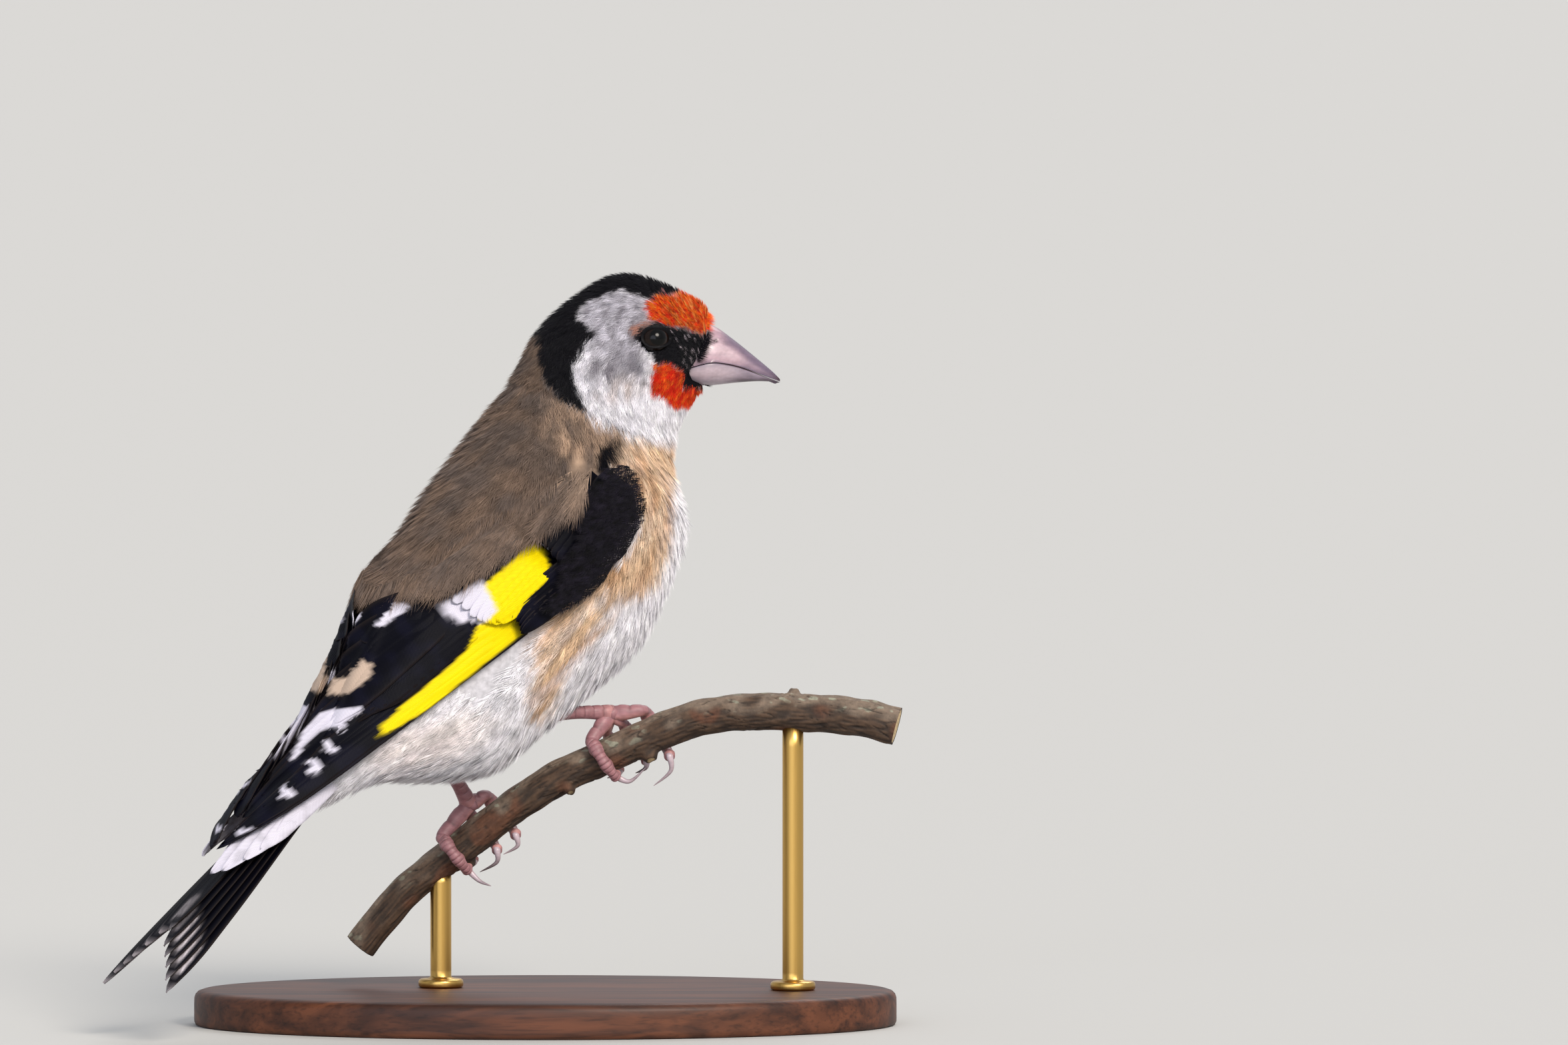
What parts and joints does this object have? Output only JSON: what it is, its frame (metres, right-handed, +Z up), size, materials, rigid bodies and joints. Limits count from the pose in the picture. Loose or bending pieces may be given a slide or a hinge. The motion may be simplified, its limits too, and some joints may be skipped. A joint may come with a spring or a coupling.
{
  "type": "european goldfinch display model",
  "caption": "Life-size still model of a perched goldfinch with folded wings and forked tail, gripping a short cut branch on rods over an oval base.",
  "frame": {"origin": "centre of the whole model's box, on the underside of the base", "axes": "+X the way the bill points, +Z up; the bird's right side faces -Y"},
  "size_m": [0.113, 0.0736, 0.1069],
  "materials": {
    "body_plumage": "soft brown back, buff flanks and white belly feathers",
    "neck_plumage": "soft brown and white feathers",
    "head_plumage": "red face, white cheeks and black crown feathers",
    "bill_horn": "satin pinkish horn with a dark tip",
    "eye_surface": "wet gloss, near black",
    "wing_feather": "smooth black feathers with a yellow bar and white tips",
    "covert_feather": "soft white feathers",
    "tail_feather": "smooth black feathers with white spots near the tips",
    "leg_skin": "satin pinkish scaly skin and horn claws",
    "bark": "rough dark bark with pale cut ends",
    "stand_wood": "satin stained hardwood",
    "stand_brass": "satin brushed brass"
  },
  "bodies": {
    "root": {"torso": "body_plumage", "neck": "neck_plumage", "head": "head_plumage", "bill_upper": "bill_horn", "bill_lower": "bill_horn", "eye_right": "eye_surface", "eye_left": "eye_surface", "wing_right": "wing_feather", "wing_left": "wing_feather", "tail_coverts_right": "covert_feather", "tail_coverts_left": "covert_feather", "tail": "tail_feather", "leg_right": "leg_skin", "leg_left": "leg_skin", "foot_right": "leg_skin", "foot_left": "leg_skin", "perch": "bark", "stand_base": "stand_wood", "stand_rod_low": "stand_brass", "stand_rod_high": "stand_brass"}
  },
  "joints": []
}
